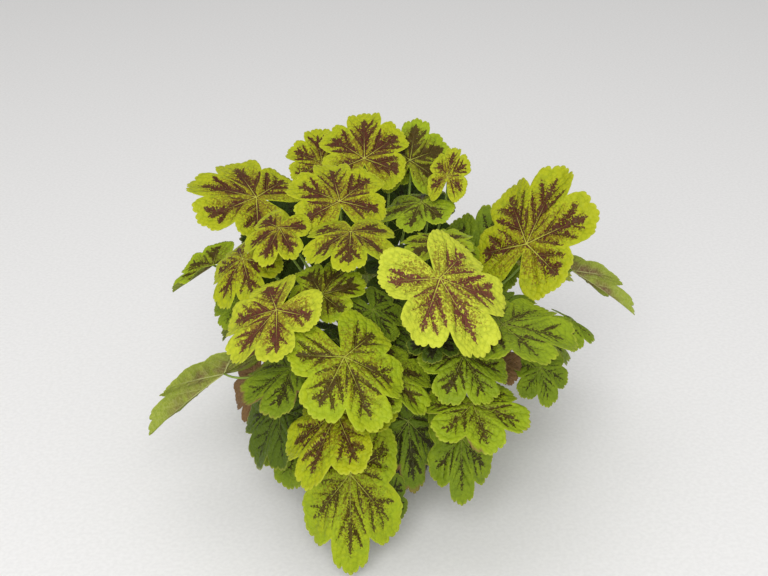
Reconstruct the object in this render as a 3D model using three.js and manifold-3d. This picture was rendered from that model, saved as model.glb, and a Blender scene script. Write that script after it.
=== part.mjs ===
// A heuchera (coral bells) in its round nursery pot: a tapered plastic pot filled with
// soil, a knobbly crown standing in the soil, and one solid for every leaf, its lobed,
// toothed blade and its stalk in one. Millimetres, +Z up, origin at the middle of the
// pot's resting face. Looking along +Y one sees the plant's front.
import * as THREE from 'three';
import { mergeVertices } from 'three/addons/utils/BufferGeometryUtils.js';
import Module from 'manifold-3d';

const wasm = await Module();
wasm.setup();

// ---- pot ----
const POT_RADIUS = 70;
const POT_HEIGHT = 110;
const POT_BASE_RADIUS = 50;
const POT_WALL = 1.8;
const RIM_DEPTH = 12;
const RIM_STEP = 2.5;
const POT_SIDES = 32;
const DRAIN_HOLES = 6;
const DRAIN_RADIUS = 5;
const DRAIN_CIRCLE = 34;
const DRAIN_SIDES = 10;
const DRAIN_CUT = 5.4;

// ---- soil and crown ----
const FIT = 0.3;
const SOIL_LEVEL = 98;
const SOIL_CROWNING = 3;
const SOIL_SHOULDER = 1;
const SOCKET_DEPTH = 14;
const CROWN_RADIUS = 25;
const CROWN_RINGS = 5;
const CROWN_SIDES = 24;

// ---- leaves ----
const BLADE_THICKNESS = 1.0;
const STALK_RADIUS = 1.4;
const STALK_SIDES = 5;
const STALK_STEPS = 5;
const STALK_SURGE = 0.42;
const STALK_UNDER = 0.25;
const STALK_BEHIND = 0.12;
const STALK_OVER_RIM = 36;
const STALKS_APART = 14;
const STALKS_LOWEST = 24;
const PARTING_ROUNDS = 200;
const PARTING_PUSH = 0.25;
const PLEAT = 0.05;
const WAVE = 0.05;
const TOOTH_DEPTH = 0.05;
const SINUS_RADIUS = 0.12;
const LOBE_BLUNTNESS = 4.5;
const INNER_RING = 0.52;
const LEAF_TURN = 137.5;
const DROOP = 0.1;
const SUN_GREEN = 0xb4c02c;
const SHADE_GREEN = 0x6f8f2a;
const SHADE_BELOW = 120;
const SUN_ABOVE = 240;

// The lobes on one side of the midrib, outwards: the angle of the lobe's tip and of the
// gap beyond it, the lobe's length, the radius at the bottom of that gap, and its teeth.
const LOBES = [
  { at: 0, gapAt: 26, length: 1.0, gap: 0.7, teeth: 3 },
  { at: 52, gapAt: 80, length: 0.93, gap: 0.61, teeth: 3 },
  { at: 110, gapAt: 165, length: 0.79, gap: 0.44, teeth: 3 },
];

// Every leaf: where its stalk meets the blade, the heading of its midrib (0 is +X, 90 is
// +Y), how far the midrib dips (nod) and the length from stalk to tip. Some blades also
// roll about the midrib (bank), fold their halves down from it (fold, or up where it is
// negative), are narrower than the others (spread below 1), have lobes that taper more
// (blunt below LOBE_BLUNTNESS) or edges that droop more, as a share of the length (droop
// above DROOP). Angles are in degrees.
const LEAVES = [
  // top of the mound
  { at: [-105, 42, 267], heading: 168, nod: -14, bank: -15, spread: 0.9, length: 68 },
  { at: [-46, 90, 279], heading: 100, nod: -36, length: 41 },
  { at: [-27, -12, 286], heading: 102, nod: -26, length: 53 },
  { at: [-17, -64, 282], heading: -92, nod: 4, length: 47, droop: 0.25 },
  { at: [-6, 66, 293], heading: 90, nod: -36, spread: 0.92, length: 55 },
  { at: [18, 104, 276], heading: 70, nod: -20, fold: 10, length: 44 },
  { at: [36, 74, 287], heading: 78, nod: -42, fold: 25, length: 48 },
  { at: [69, 42, 283], heading: 75, nod: -35, fold: 10, spread: 0.62, length: 38 },
  { at: [45, 36, 262], heading: 196, nod: 8, fold: 10, length: 44 },
  { at: [79, 32, 219], heading: -62, nod: 25, fold: 10, length: 25, droop: 0.15 },
  // middle of the mound
  { at: [21, -8, 230], heading: 95, nod: 0, fold: 10, length: 38 },
  { at: [14, -47, 217], heading: -118, nod: 15, length: 31 },
  { at: [58, -30, 252], heading: 100, nod: 2, length: 40 },
  { at: [55, -105, 258], heading: -53, nod: 32, spread: 0.92, length: 70 },
  { at: [140, 18, 226], heading: 53, nod: -48, spread: 0.76, blunt: 3.2, length: 85 },
  { at: [186, 38, 188], heading: -14, nod: 24, bank: -62, fold: -30, spread: 0.38, blunt: 2.8, length: 68 },
  { at: [-26, 62, 228], heading: 90, nod: -20, length: 24 },
  { at: [104, -42, 194], heading: 20, nod: -5, length: 43 },
  { at: [108, -95, 208], heading: -5, nod: 5, length: 64 },
  { at: [178, -15, 165], heading: -20, nod: 25, fold: 20, length: 30, droop: 0.2 },
  { at: [146, -66, 146], heading: -65, nod: 50, blunt: 2.6, length: 34, droop: 0.15 },
  { at: [74, -122, 195], heading: -56, nod: 32, fold: 10, length: 46 },
  { at: [102, -78, 167], heading: -55, nod: 25, length: 30 },
  { at: [80, -147, 164], heading: -76, nod: 10, blunt: 3.2, length: 52 },
  { at: [49, -118, 213], heading: -95, nod: 25, length: 27 },
  { at: [8, -135, 190], heading: -35, nod: 25, length: 47 },
  // front and skirt
  { at: [53, -104, 168], heading: -98, nod: 20, length: 24 },
  { at: [28, -112, 124], heading: -76, nod: 68, fold: 10, spread: 0.6, blunt: 2.4, length: 66 },
  { at: [72, -132, 120], heading: -87, nod: 66, fold: 25, spread: 0.62, blunt: 3, length: 62 },
  { at: [9, -143, 68], heading: -74, nod: 74, fold: 5, spread: 0.7, blunt: 2.4, length: 34 },
  { at: [-22, -150, 98], heading: -93, nod: 62, fold: 20, spread: 0.64, blunt: 2.8, length: 88 },
  { at: [-31, -155, 163], heading: -122, nod: 30, fold: 10, bank: 10, spread: 0.86, blunt: 2.6, length: 67 },
  { at: [-23, -148, 212], heading: -62, nod: 32, spread: 0.86, length: 66 },
  { at: [-42, -88, 236], heading: 60, nod: -28, length: 40 },
  { at: [-78, -112, 236], heading: -143, nod: 28, spread: 0.92, length: 57 },
  { at: [-78, -42, 276], heading: -113, nod: 18, spread: 0.82, length: 40, droop: 0.2 },
  { at: [-112, -35, 244], heading: -138, nod: 35, fold: 10, length: 43, droop: 0.25 },
  { at: [-147, 22, 209], heading: 178, nod: 30, fold: -42, bank: -12, spread: 0.54, blunt: 2.6, length: 48 },
  { at: [-124, -4, 186], heading: -135, nod: 45, length: 30 },
  { at: [-135, -52, 138], heading: -156, nod: 21, bank: 62, spread: 0.44, blunt: 2, fold: -30, length: 86 },
  { at: [-67, -118, 185], heading: -163, nod: 22, length: 53 },
  { at: [-84, -92, 125], heading: -155, nod: 55, blunt: 3, length: 58 },
  { at: [-71, -90, 98], heading: -115, nod: 60, blunt: 3, length: 50 },
  { at: [0, -86, 220], heading: -45, nod: 35, length: 33 },
  { at: [14, -80, 198], heading: -72, nod: 20, length: 33 },
  { at: [-36, -97, 207], heading: 16, nod: 15, length: 21 },
  // back; the first three stand steeply behind the middle of the mound, and the fifth is
  // a withered leaf that hangs low at the left
  { at: [-68, 82, 192], heading: 110, nod: -45, length: 68 },
  { at: [28, 108, 201], heading: 88, nod: -48, length: 66 },
  { at: [100, 62, 190], heading: 58, nod: -45, length: 58 },
  { at: [138, 106, 170], heading: 40, nod: 20, length: 70, droop: 0.15 },
  { at: [-106, -34, 121], heading: -120, nod: 55, spread: 0.7, length: 46, droop: 0.15 },
  { at: [-108, 110, 125], heading: 140, nod: 40, length: 66, droop: 0.15 },
  { at: [-50, 138, 122], heading: 115, nod: 40, length: 68, droop: 0.15 },
  { at: [28, 150, 140], heading: 85, nod: 40, length: 68, droop: 0.15 },
  { at: [112, 118, 120], heading: 42, nod: 40, length: 68, droop: 0.15 },
  { at: [148, 52, 130], heading: 20, nod: 40, length: 66, droop: 0.15 },
];

const radians = THREE.MathUtils.degToRad;

function solidOf(geometry) {
  const bare = geometry.clone();
  bare.deleteAttribute('normal');
  bare.deleteAttribute('uv');
  const merged = mergeVertices(bare, 1e-4);
  return new wasm.Manifold(new wasm.Mesh({
    numProp: 3,
    vertProperties: new Float32Array(merged.attributes.position.array),
    triVerts: new Uint32Array(merged.index.array),
  }));
}

function geometryOf(solid) {
  const mesh = solid.getMesh();
  const geometry = new THREE.BufferGeometry();
  geometry.setAttribute('position', new THREE.BufferAttribute(mesh.vertProperties, 3));
  geometry.setIndex(new THREE.BufferAttribute(mesh.triVerts, 1));
  geometry.computeVertexNormals();
  return geometry;
}

function named(name, geometry, material) {
  const mesh = new THREE.Mesh(geometry, material);
  mesh.name = name;
  return mesh;
}

// A solid of revolution about Z from [radius, height] pairs.
function turned(profile, sides) {
  const points = profile.map(([radius, height]) => new THREE.Vector2(radius, height));
  return new THREE.LatheGeometry(points, sides).rotateX(Math.PI / 2);
}

// ---- pot ----
function makePot() {
  const wallTop = POT_HEIGHT - RIM_DEPTH;
  const underRim = POT_RADIUS - RIM_STEP;
  const shell = solidOf(turned([
    [0, 0],
    [POT_BASE_RADIUS, 0],
    [underRim, wallTop],
    [POT_RADIUS, wallTop],
    [POT_RADIUS, POT_HEIGHT],
    [POT_RADIUS - POT_WALL, POT_HEIGHT],
    [underRim - POT_WALL, wallTop],
    [POT_BASE_RADIUS - POT_WALL, POT_WALL],
    [0, POT_WALL],
  ], POT_SIDES));
  const cutters = [];
  for (let i = 0; i < DRAIN_HOLES; i += 1) {
    const angle = (i * 2 * Math.PI) / DRAIN_HOLES;
    const cutter = new THREE.CylinderGeometry(DRAIN_RADIUS, DRAIN_RADIUS, DRAIN_CUT, DRAIN_SIDES)
      .rotateX(Math.PI / 2)
      .translate(DRAIN_CIRCLE * Math.cos(angle), DRAIN_CIRCLE * Math.sin(angle), 0);
    cutters.push(solidOf(cutter));
  }
  const pot = wasm.Manifold.difference([shell, ...cutters]);
  const material = new THREE.MeshStandardMaterial({ color: 0x26282a, roughness: 0.6, metalness: 0 });
  return named('pot', geometryOf(pot), material);
}

// The inside radius of the pot's wall at a height.
function potInside(height) {
  const wallTop = POT_HEIGHT - RIM_DEPTH;
  const share = (height - POT_WALL) / (wallTop - POT_WALL);
  const low = POT_BASE_RADIUS - POT_WALL;
  const high = POT_RADIUS - RIM_STEP - POT_WALL;
  return low + (high - low) * share;
}

// ---- soil ----
function makeSoil() {
  const bottom = POT_WALL + FIT;
  const edge = SOIL_LEVEL - SOIL_CROWNING;
  const socket = CROWN_RADIUS + FIT;
  const geometry = turned([
    [0, bottom],
    [potInside(bottom) - FIT, bottom],
    [potInside(edge) - FIT, edge],
    [(CROWN_RADIUS + POT_RADIUS) / 2, SOIL_LEVEL - SOIL_SHOULDER],
    [socket, SOIL_LEVEL],
    [socket, SOIL_LEVEL - SOCKET_DEPTH],
    [0, SOIL_LEVEL - SOCKET_DEPTH],
  ], POT_SIDES);
  const material = new THREE.MeshStandardMaterial({ color: 0x3a2a1e, roughness: 0.95, metalness: 0 });
  return named('soil', geometryOf(solidOf(geometry)), material);
}

// ---- crown ----
function makeCrown() {
  const bottom = SOIL_LEVEL - SOCKET_DEPTH + FIT;
  const profile = [[0, bottom], [CROWN_RADIUS, bottom]];
  for (let i = 0; i < CROWN_RINGS; i += 1) {
    const climb = (i * Math.PI) / (2 * CROWN_RINGS);
    profile.push([CROWN_RADIUS * Math.cos(climb), SOIL_LEVEL + CROWN_RADIUS * Math.sin(climb)]);
  }
  profile.push([0, SOIL_LEVEL + CROWN_RADIUS]);
  const material = new THREE.MeshStandardMaterial({ color: 0x5a4630, roughness: 0.9, metalness: 0 });
  return named('crown', geometryOf(solidOf(turned(profile, CROWN_SIDES))), material);
}

// ---- blade ----
// Outline of a leaf of length 1 around its stalk, as angle, radius and place across the
// lobe (0 at a lobe's tip, 1 in the gaps), from one side of the sinus to the other.
function bladeOutline(bluntness) {
  const half = [];
  let before = { at: -LOBES[0].gapAt, radius: LOBES[0].gap };
  for (const lobe of LOBES) {
    const first = lobe.at === 0 ? lobe.teeth - 1 : 0;
    for (let k = first; k < 2 * lobe.teeth - 1; k += 1) {
      const across = (k - (lobe.teeth - 1)) / lobe.teeth;
      const side = across < 0 ? before : { at: lobe.gapAt, radius: lobe.gap };
      const share = Math.abs(across);
      const angle = lobe.at + (side.at - lobe.at) * share;
      const envelope = lobe.length + (side.radius - lobe.length) * share ** bluntness;
      const notch = k % 2 === 1 ? 1 - TOOTH_DEPTH : 1;
      half.push({ angle, radius: envelope * notch, across: share });
    }
    before = { at: lobe.gapAt, radius: lobe.gap };
    half.push({ angle: lobe.gapAt, radius: lobe.gap, across: 1 });
  }
  const mirrored = half.slice(1).reverse().map((p) => ({ ...p, angle: -p.angle }));
  return [...mirrored, ...half, { angle: 180, radius: SINUS_RADIUS, across: 1 }];
}

// A blade's surface height over its own plane, in lengths: edges droop, gaps between
// lobes stand a little proud of the veins, and a slow wave runs round the edge.
function bladeRise(leaf, wavePhase, point, share) {
  const distance = point.radius * share;
  const pleat = -PLEAT * Math.cos(Math.PI * point.across) * distance;
  const wave = WAVE * Math.sin(3 * radians(point.angle) + wavePhase) * distance ** 2;
  return pleat + wave - (leaf.droop ?? DROOP) * distance ** 2;
}

function leafFrame(leaf) {
  const heading = radians(leaf.heading);
  const nod = radians(leaf.nod);
  const bank = radians(leaf.bank ?? 0);
  const along = new THREE.Vector3(
    Math.cos(heading) * Math.cos(nod), Math.sin(heading) * Math.cos(nod), -Math.sin(nod));
  const upright = new THREE.Vector3(
    Math.cos(heading) * Math.sin(nod), Math.sin(heading) * Math.sin(nod), Math.cos(nod));
  upright.applyAxisAngle(along, bank);
  const left = new THREE.Vector3().crossVectors(upright, along);
  return { along, left, upright, at: new THREE.Vector3(...leaf.at) };
}

function bladeGeometry(leaf, frame, wavePhase) {
  const outline = bladeOutline(leaf.blunt ?? LOBE_BLUNTNESS);
  const ring = outline.filter((p) => p.across === 0 || p.across === 1);
  const top = [{ point: { angle: 0, radius: 0, across: 1 }, share: 0 }];
  for (const point of ring) {
    top.push({ point, share: INNER_RING });
  }
  for (const point of outline) {
    top.push({ point, share: 1 });
  }
  const ringStart = 1;
  const edgeStart = ringStart + ring.length;
  const faces = [];
  // fan round the stalk, then a band between the inner ring and the edge
  for (let i = 0; i < ring.length; i += 1) {
    const next = (i + 1) % ring.length;
    faces.push([0, ringStart + i, ringStart + next]);
    const from = outline.indexOf(ring[i]);
    const steps = (outline.indexOf(ring[next]) - from + outline.length) % outline.length;
    const middle = Math.floor(steps / 2);
    for (let k = 0; k < steps; k += 1) {
      const a = edgeStart + ((from + k) % outline.length);
      const b = edgeStart + ((from + k + 1) % outline.length);
      if (k === middle) {
        faces.push([ringStart + i, a, ringStart + next]);
      }
      faces.push([k < middle ? ringStart + i : ringStart + next, a, b]);
    }
  }
  const fold = radians(leaf.fold ?? 0);
  const spread = leaf.spread ?? 1;
  const positions = [];
  for (const drop of [0, BLADE_THICKNESS]) {
    for (const { point, share } of top) {
      const angle = radians(point.angle);
      const distance = point.radius * share * leaf.length;
      const aside = distance * Math.sin(angle) * spread;
      const folded = -Math.abs(aside) * Math.sin(fold);
      const rise = bladeRise(leaf, wavePhase, point, share) * leaf.length + folded - drop;
      const place = frame.at.clone()
        .addScaledVector(frame.along, distance * Math.cos(angle))
        .addScaledVector(frame.left, aside * Math.cos(fold))
        .addScaledVector(frame.upright, rise);
      positions.push(place.x, place.y, place.z);
    }
  }
  const count = top.length;
  const index = [];
  for (const [a, b, c] of faces) {
    index.push(a, b, c, a + count, c + count, b + count);
  }
  for (let i = 0; i < outline.length; i += 1) {
    const a = edgeStart + i;
    const b = edgeStart + ((i + 1) % outline.length);
    index.push(a, a + count, b + count, a, b + count, b);
  }
  const geometry = new THREE.BufferGeometry();
  geometry.setAttribute('position', new THREE.Float32BufferAttribute(positions, 3));
  geometry.setIndex(index);
  return geometry;
}

// ---- stalk ----
const CROWN_CENTRE = new THREE.Vector3(0, 0, SOIL_LEVEL);

// The directions in which the stalks leave the crown: each follows its own leaf, then
// they push one another apart over the dome until no two bases touch.
function stalkDirections() {
  const directions = LEAVES.map((leaf) => new THREE.Vector3(...leaf.at).sub(CROWN_CENTRE).normalize());
  const apart = radians(STALKS_APART);
  const lowest = Math.sin(radians(STALKS_LOWEST));
  for (let round = 0; round < PARTING_ROUNDS; round += 1) {
    for (const one of directions) {
      for (const other of directions) {
        const angle = one.angleTo(other);
        if (one !== other && angle < apart) {
          const push = one.clone().sub(other).normalize().multiplyScalar((apart - angle) * PARTING_PUSH);
          one.add(push).normalize();
          other.sub(push).normalize();
        }
      }
      one.z = Math.max(one.z, lowest);
      one.normalize();
    }
  }
  return directions;
}

const STALK_STARTS = stalkDirections();

// A stalk rises from the crown, arches over the pot's rim and meets its blade from below
// and behind.
function stalkGeometry(leaf, frame, outwards) {
  const start = CROWN_CENTRE.clone().addScaledVector(outwards, CROWN_RADIUS + FIT);
  const end = frame.at.clone().addScaledVector(frame.upright, -BLADE_THICKNESS / 2);
  const span = start.distanceTo(end);
  const leaving = start.clone().addScaledVector(outwards, STALK_SURGE * span);
  leaving.z = Math.max(leaving.z, POT_HEIGHT + STALK_OVER_RIM);
  const arriving = end.clone()
    .addScaledVector(frame.upright, -STALK_UNDER * span)
    .addScaledVector(frame.along, -STALK_BEHIND * span);
  const curve = new THREE.CubicBezierCurve3(start, leaving, arriving, end);
  const section = new THREE.Shape();
  for (let i = 0; i < STALK_SIDES; i += 1) {
    const angle = (i * 2 * Math.PI) / STALK_SIDES;
    const corner = [STALK_RADIUS * Math.cos(angle), STALK_RADIUS * Math.sin(angle)];
    if (i === 0) {
      section.moveTo(...corner);
    } else {
      section.lineTo(...corner);
    }
  }
  section.closePath();
  return new THREE.ExtrudeGeometry(section, {
    steps: STALK_STEPS, bevelEnabled: false, extrudePath: curve,
  });
}

// Leaves in the sun at the top are lime, the ones low in the skirt a duller green.
function leafColour(leaf) {
  const sun = THREE.MathUtils.smoothstep(leaf.at[2], SHADE_BELOW, SUN_ABOVE);
  return new THREE.Color(SHADE_GREEN).lerp(new THREE.Color(SUN_GREEN), sun);
}

function makeLeaf(leaf, number) {
  const frame = leafFrame(leaf);
  const wavePhase = radians(LEAF_TURN * number);
  const blade = solidOf(bladeGeometry(leaf, frame, wavePhase));
  const stalk = solidOf(stalkGeometry(leaf, frame, STALK_STARTS[number]));
  const material = new THREE.MeshStandardMaterial({
    color: leafColour(leaf), roughness: 0.55, metalness: 0,
  });
  return named(`leaf_${String(number + 1).padStart(2, '0')}`, geometryOf(blade.add(stalk)), material);
}

const plant = new THREE.Group();
plant.add(makePot(), makeSoil(), makeCrown());
LEAVES.forEach((leaf, number) => plant.add(makeLeaf(leaf, number)));

export default plant;
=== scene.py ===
"""Looks of the potted heuchera: every leaf as a finely toothed, quilted blade on its stalk,
a nursery pot with a stepped rim, crumbly soil and a knobbly crown. Metres, +Z up, the front
faces -Y. Pieces are worked out in millimetres, and scaled as their meshes are made."""
from math import acos, atan2, cos, degrees, hypot, pi, radians, sin, sqrt
from typing import NamedTuple

import bpy
import numpy as np
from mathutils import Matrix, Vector


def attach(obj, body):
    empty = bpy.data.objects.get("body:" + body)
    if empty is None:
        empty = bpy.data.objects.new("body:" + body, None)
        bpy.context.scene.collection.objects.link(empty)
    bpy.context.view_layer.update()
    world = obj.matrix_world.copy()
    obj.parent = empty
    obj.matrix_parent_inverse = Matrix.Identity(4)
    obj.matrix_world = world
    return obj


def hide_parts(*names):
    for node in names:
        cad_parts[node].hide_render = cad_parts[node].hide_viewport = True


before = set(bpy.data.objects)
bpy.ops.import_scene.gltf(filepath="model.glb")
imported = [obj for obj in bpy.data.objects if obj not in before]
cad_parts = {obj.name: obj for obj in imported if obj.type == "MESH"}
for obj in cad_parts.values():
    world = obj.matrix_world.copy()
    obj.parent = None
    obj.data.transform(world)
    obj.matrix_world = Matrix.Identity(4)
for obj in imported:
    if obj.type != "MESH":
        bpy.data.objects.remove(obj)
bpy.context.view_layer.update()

MM = 0.001


def srgb(red, green, blue):
    """A colour given in 0-255 display values, as linear RGBA."""
    values = [((c / 255 + 0.055) / 1.055) ** 2.4 for c in (red, green, blue)]
    return (*values, 1.0)


def put_in_scene(name, data):
    thing = bpy.data.objects.new(name, data)
    bpy.context.scene.collection.objects.link(thing)
    return thing


# ---- camera ----
CAMERA_AT = (0.0096, -0.979, 0.726)
CAMERA_DIP = 28.56
CAMERA_ROLL = -1.16
CAMERA_LENS = 57.5


def place_camera():
    """A camera looking along +Y, dipped towards the plant and rolled a little."""
    data = bpy.data.cameras.new("camera")
    data.lens = CAMERA_LENS
    data.sensor_width = 36.0
    data.clip_end = 50.0
    camera = put_in_scene("camera", data)
    camera.location = CAMERA_AT
    camera.rotation_mode = "ZYX"
    camera.rotation_euler = (radians(90 - CAMERA_DIP), 0, radians(CAMERA_ROLL))
    bpy.context.scene.camera = camera


place_camera()

# ---- the part's own sizes: millimetres, and degrees for angles ----
POT_RADIUS = 70
POT_HEIGHT = 110
POT_BASE_RADIUS = 50
POT_WALL = 1.8
RIM_DEPTH = 12
RIM_STEP = 2.5
WALL_TOP = POT_HEIGHT - RIM_DEPTH
DRAIN_HOLES = 6
DRAIN_RADIUS = 5
DRAIN_CIRCLE = 34
FIT = 0.3
SOIL_LEVEL = 98
SOIL_CROWNING = 3
SOCKET_DEPTH = 14
CROWN_RADIUS = 25

# A stalk surges outwards and comes to its blade from below and behind, by shares of its span.
STALK_SURGE = 0.42
STALK_UNDER = 0.25
STALK_BEHIND = 0.12
STALK_OVER_RIM = 36
STALKS_APART = 14
STALKS_LOWEST = 24
PARTING_ROUNDS = 200
PARTING_PUSH = 0.25

# A blade's form, in leaf lengths; each leaf's waves are turned on from the last one's.
PLEAT = 0.05
WAVE = 0.05
WAVES_ROUND = 3
TOOTH_DEPTH = 0.05
COARSE_TEETH = 1.5
SINUS_RADIUS = 0.12
LEAF_TURN = 137.5

# Each lobe on one side of the midrib: angle of its tip and of the gap beyond it, its
# length, the radius at the bottom of that gap.
LOBES = [
    dict(at=0, gap_at=26, length=1.0, gap=0.7),
    dict(at=52, gap_at=80, length=0.93, gap=0.61),
    dict(at=110, gap_at=165, length=0.79, gap=0.44),
]


class Leaf(NamedTuple):
    """A leaf's place, in millimetres, the angles, in degrees, and the length of its blade;
    how lime it is and how much painted light it gets (lit leaves painted lighter and more
    lime, shaded ones darker and greener as painted shade), how strongly marked and how far
    withered it is; and the rest of its form."""
    at: tuple
    heading: float
    nod: float
    length: float
    painted_light_and_tone: float
    mark: float
    dry: float = 0.0
    bank: float = 0.0
    fold: float = 0.0
    spread: float = 1.0
    blunt: float = 4.5
    droop: float = 0.1


LEAVES = [
    # top of the mound
    Leaf((-105, 42, 267), 168, -14, 68, bank=-15, spread=0.9, painted_light_and_tone=0.87, mark=1.15),
    Leaf((-46, 90, 279), 100, -36, 41, painted_light_and_tone=0.87, mark=1.1),
    Leaf((-27, -12, 286), 102, -26, 53, painted_light_and_tone=0.87, mark=1.1),
    Leaf((-17, -64, 282), -92, 4, 47, droop=0.25, painted_light_and_tone=0.82, mark=1.15),
    Leaf((-6, 66, 293), 90, -36, 55, spread=0.92, painted_light_and_tone=0.87, mark=1.25),
    Leaf((18, 104, 276), 70, -20, 44, fold=10, painted_light_and_tone=0.55, mark=0.7),
    Leaf((36, 74, 287), 78, -42, 48, fold=25, painted_light_and_tone=0.64, mark=1.5),
    Leaf((69, 42, 283), 75, -35, 38, fold=10, spread=0.62, painted_light_and_tone=0.9, mark=1.0),
    Leaf((45, 36, 262), 196, 8, 44, fold=10, painted_light_and_tone=0.55, mark=1.1),
    Leaf((79, 32, 219), -62, 25, 25, fold=10, droop=0.15, painted_light_and_tone=0.55, mark=1.2),
    # middle of the mound
    Leaf((21, -8, 230), 95, 0, 38, fold=10, painted_light_and_tone=0.2, mark=0.45),
    Leaf((14, -47, 217), -118, 15, 31, painted_light_and_tone=0.25, mark=0.45),
    Leaf((58, -30, 252), 100, 2, 40, painted_light_and_tone=0.68, mark=1.2),
    Leaf((55, -105, 258), -53, 32, 70, spread=0.92, painted_light_and_tone=1.0, mark=0.95),
    Leaf((140, 18, 226), 53, -48, 85, spread=0.76, blunt=3.2, painted_light_and_tone=0.87, mark=0.95),
    Leaf((186, 38, 188), -14, 24, 68, bank=-62, fold=-30, spread=0.38, blunt=2.8, painted_light_and_tone=0.55, mark=1.0),
    Leaf((-26, 62, 228), 90, -20, 24, painted_light_and_tone=0.3, mark=0.6),
    Leaf((104, -42, 194), 20, -5, 43, painted_light_and_tone=0.35, mark=0.5),
    Leaf((108, -95, 208), -5, 5, 64, painted_light_and_tone=0.5, mark=0.75),
    Leaf((178, -15, 165), -20, 25, 30, fold=20, droop=0.2, painted_light_and_tone=0.45, mark=0.5),
    Leaf((146, -66, 146), -65, 50, 34, blunt=2.6, droop=0.15, painted_light_and_tone=0.42, mark=0.45),
    Leaf((74, -122, 195), -56, 32, 46, fold=10, painted_light_and_tone=0.5, mark=0.8),
    Leaf((102, -78, 167), -55, 25, 30, painted_light_and_tone=0.3, mark=0.3, dry=1.0),
    Leaf((80, -147, 164), -76, 10, 52, blunt=3.2, painted_light_and_tone=0.58, mark=0.8, dry=0.3),
    Leaf((49, -118, 213), -95, 25, 27, painted_light_and_tone=0.25, mark=1.6),
    Leaf((8, -135, 190), -35, 25, 47, painted_light_and_tone=0.58, mark=1.15),
    # front and skirt
    Leaf((53, -104, 168), -98, 20, 24, painted_light_and_tone=0.2, mark=0.5),
    Leaf((28, -112, 124), -76, 68, 66, fold=10, spread=0.6, blunt=2.4, painted_light_and_tone=0.37, mark=0.9, dry=0.37),
    Leaf((72, -132, 120), -87, 66, 62, fold=25, spread=0.62, blunt=3, painted_light_and_tone=0.44, mark=0.65, dry=0.2),
    Leaf((9, -143, 68), -74, 74, 34, fold=5, spread=0.7, blunt=2.4, painted_light_and_tone=0.35, mark=0.9),
    Leaf((-22, -150, 98), -93, 62, 88, fold=20, spread=0.64, blunt=2.8, painted_light_and_tone=0.69, mark=0.72),
    Leaf((-31, -155, 163), -122, 30, 67, bank=10, fold=10, spread=0.86, blunt=2.6, painted_light_and_tone=0.81, mark=0.85),
    Leaf((-23, -148, 212), -62, 32, 66, spread=0.86, painted_light_and_tone=0.7, mark=0.9),
    Leaf((-42, -88, 236), 60, -28, 40, painted_light_and_tone=0.68, mark=1.25),
    Leaf((-78, -112, 236), -143, 28, 57, spread=0.92, painted_light_and_tone=0.93, mark=1.1),
    Leaf((-78, -42, 276), -113, 18, 40, spread=0.82, droop=0.2, painted_light_and_tone=0.88, mark=1.3),
    Leaf((-112, -35, 244), -138, 35, 43, fold=10, droop=0.25, painted_light_and_tone=0.85, mark=0.95),
    Leaf((-147, 22, 209), 178, 30, 48, bank=-12, fold=-42, spread=0.54, blunt=2.6, painted_light_and_tone=0.62, mark=1.2),
    Leaf((-124, -4, 186), -135, 45, 30, painted_light_and_tone=0.45, mark=0.5),
    Leaf((-135, -52, 138), -156, 21, 86, bank=62, fold=-30, spread=0.44, blunt=2, painted_light_and_tone=0.9, mark=0.9),
    Leaf((-67, -118, 185), -163, 22, 53, painted_light_and_tone=0.45, mark=0.7, dry=0.34),
    Leaf((-84, -92, 125), -155, 55, 58, blunt=3, painted_light_and_tone=0.3, mark=0.6),
    Leaf((-71, -90, 98), -115, 60, 50, blunt=3, painted_light_and_tone=0.45, mark=0.5),
    Leaf((0, -86, 220), -45, 35, 33, painted_light_and_tone=0.42, mark=0.8),
    Leaf((14, -80, 198), -72, 20, 33, painted_light_and_tone=0.32, mark=0.65),
    Leaf((-36, -97, 207), 16, 15, 21, painted_light_and_tone=0.2, mark=0.5),
    # back; the fifth is a withered one that hangs low at the left
    Leaf((-68, 82, 192), 110, -45, 68, painted_light_and_tone=0.18, mark=0.6),
    Leaf((28, 108, 201), 88, -48, 66, painted_light_and_tone=0.16, mark=0.5),
    Leaf((100, 62, 190), 58, -45, 58, painted_light_and_tone=0.42, mark=0.8),
    Leaf((138, 106, 170), 40, 20, 70, droop=0.15, painted_light_and_tone=0.8, mark=0.7),
    Leaf((-106, -34, 121), -120, 55, 46, spread=0.7, droop=0.15, painted_light_and_tone=0.4, mark=0.6, dry=1.0),
    Leaf((-108, 110, 125), 140, 40, 66, droop=0.15, painted_light_and_tone=0.45, mark=0.5),
    Leaf((-50, 138, 122), 115, 40, 68, droop=0.15, painted_light_and_tone=0.5, mark=0.7),
    Leaf((28, 150, 140), 85, 40, 68, droop=0.15, painted_light_and_tone=0.55, mark=0.6),
    Leaf((112, 118, 120), 42, 40, 68, droop=0.15, painted_light_and_tone=0.5, mark=0.6),
    Leaf((148, 52, 130), 20, 40, 66, droop=0.15, painted_light_and_tone=0.45, mark=0.7),
]

# ---- fine form of a leaf ----
# Outline: degrees from ray to ray and tooth to tooth, and how round and deep the teeth are.
RAY_STEP = 1.6
FEWEST_SINUS_RAYS = 5
TOOTH_EVERY = 6.0
FEWEST_TEETH = 3
RAYS_PER_TOOTH = 4
TOOTH_ROUNDNESS = 0.8
CRENATION_DEPTH = 0.028
CRENATION_ROUNDNESS = 0.55
LEAST_TOOTH_SHARE = 0.8
TEETH_END = 8
LOBE_VARIATION = 0.04

# Rings, in millimetres: they crowd towards the margin, where the teeth grow out.
RING_SIZE = 4.6
FEWEST_RINGS = 7
MOST_RINGS = 17
RING_CROWDING = 0.92
TEETH_GROWTH = 4

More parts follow.
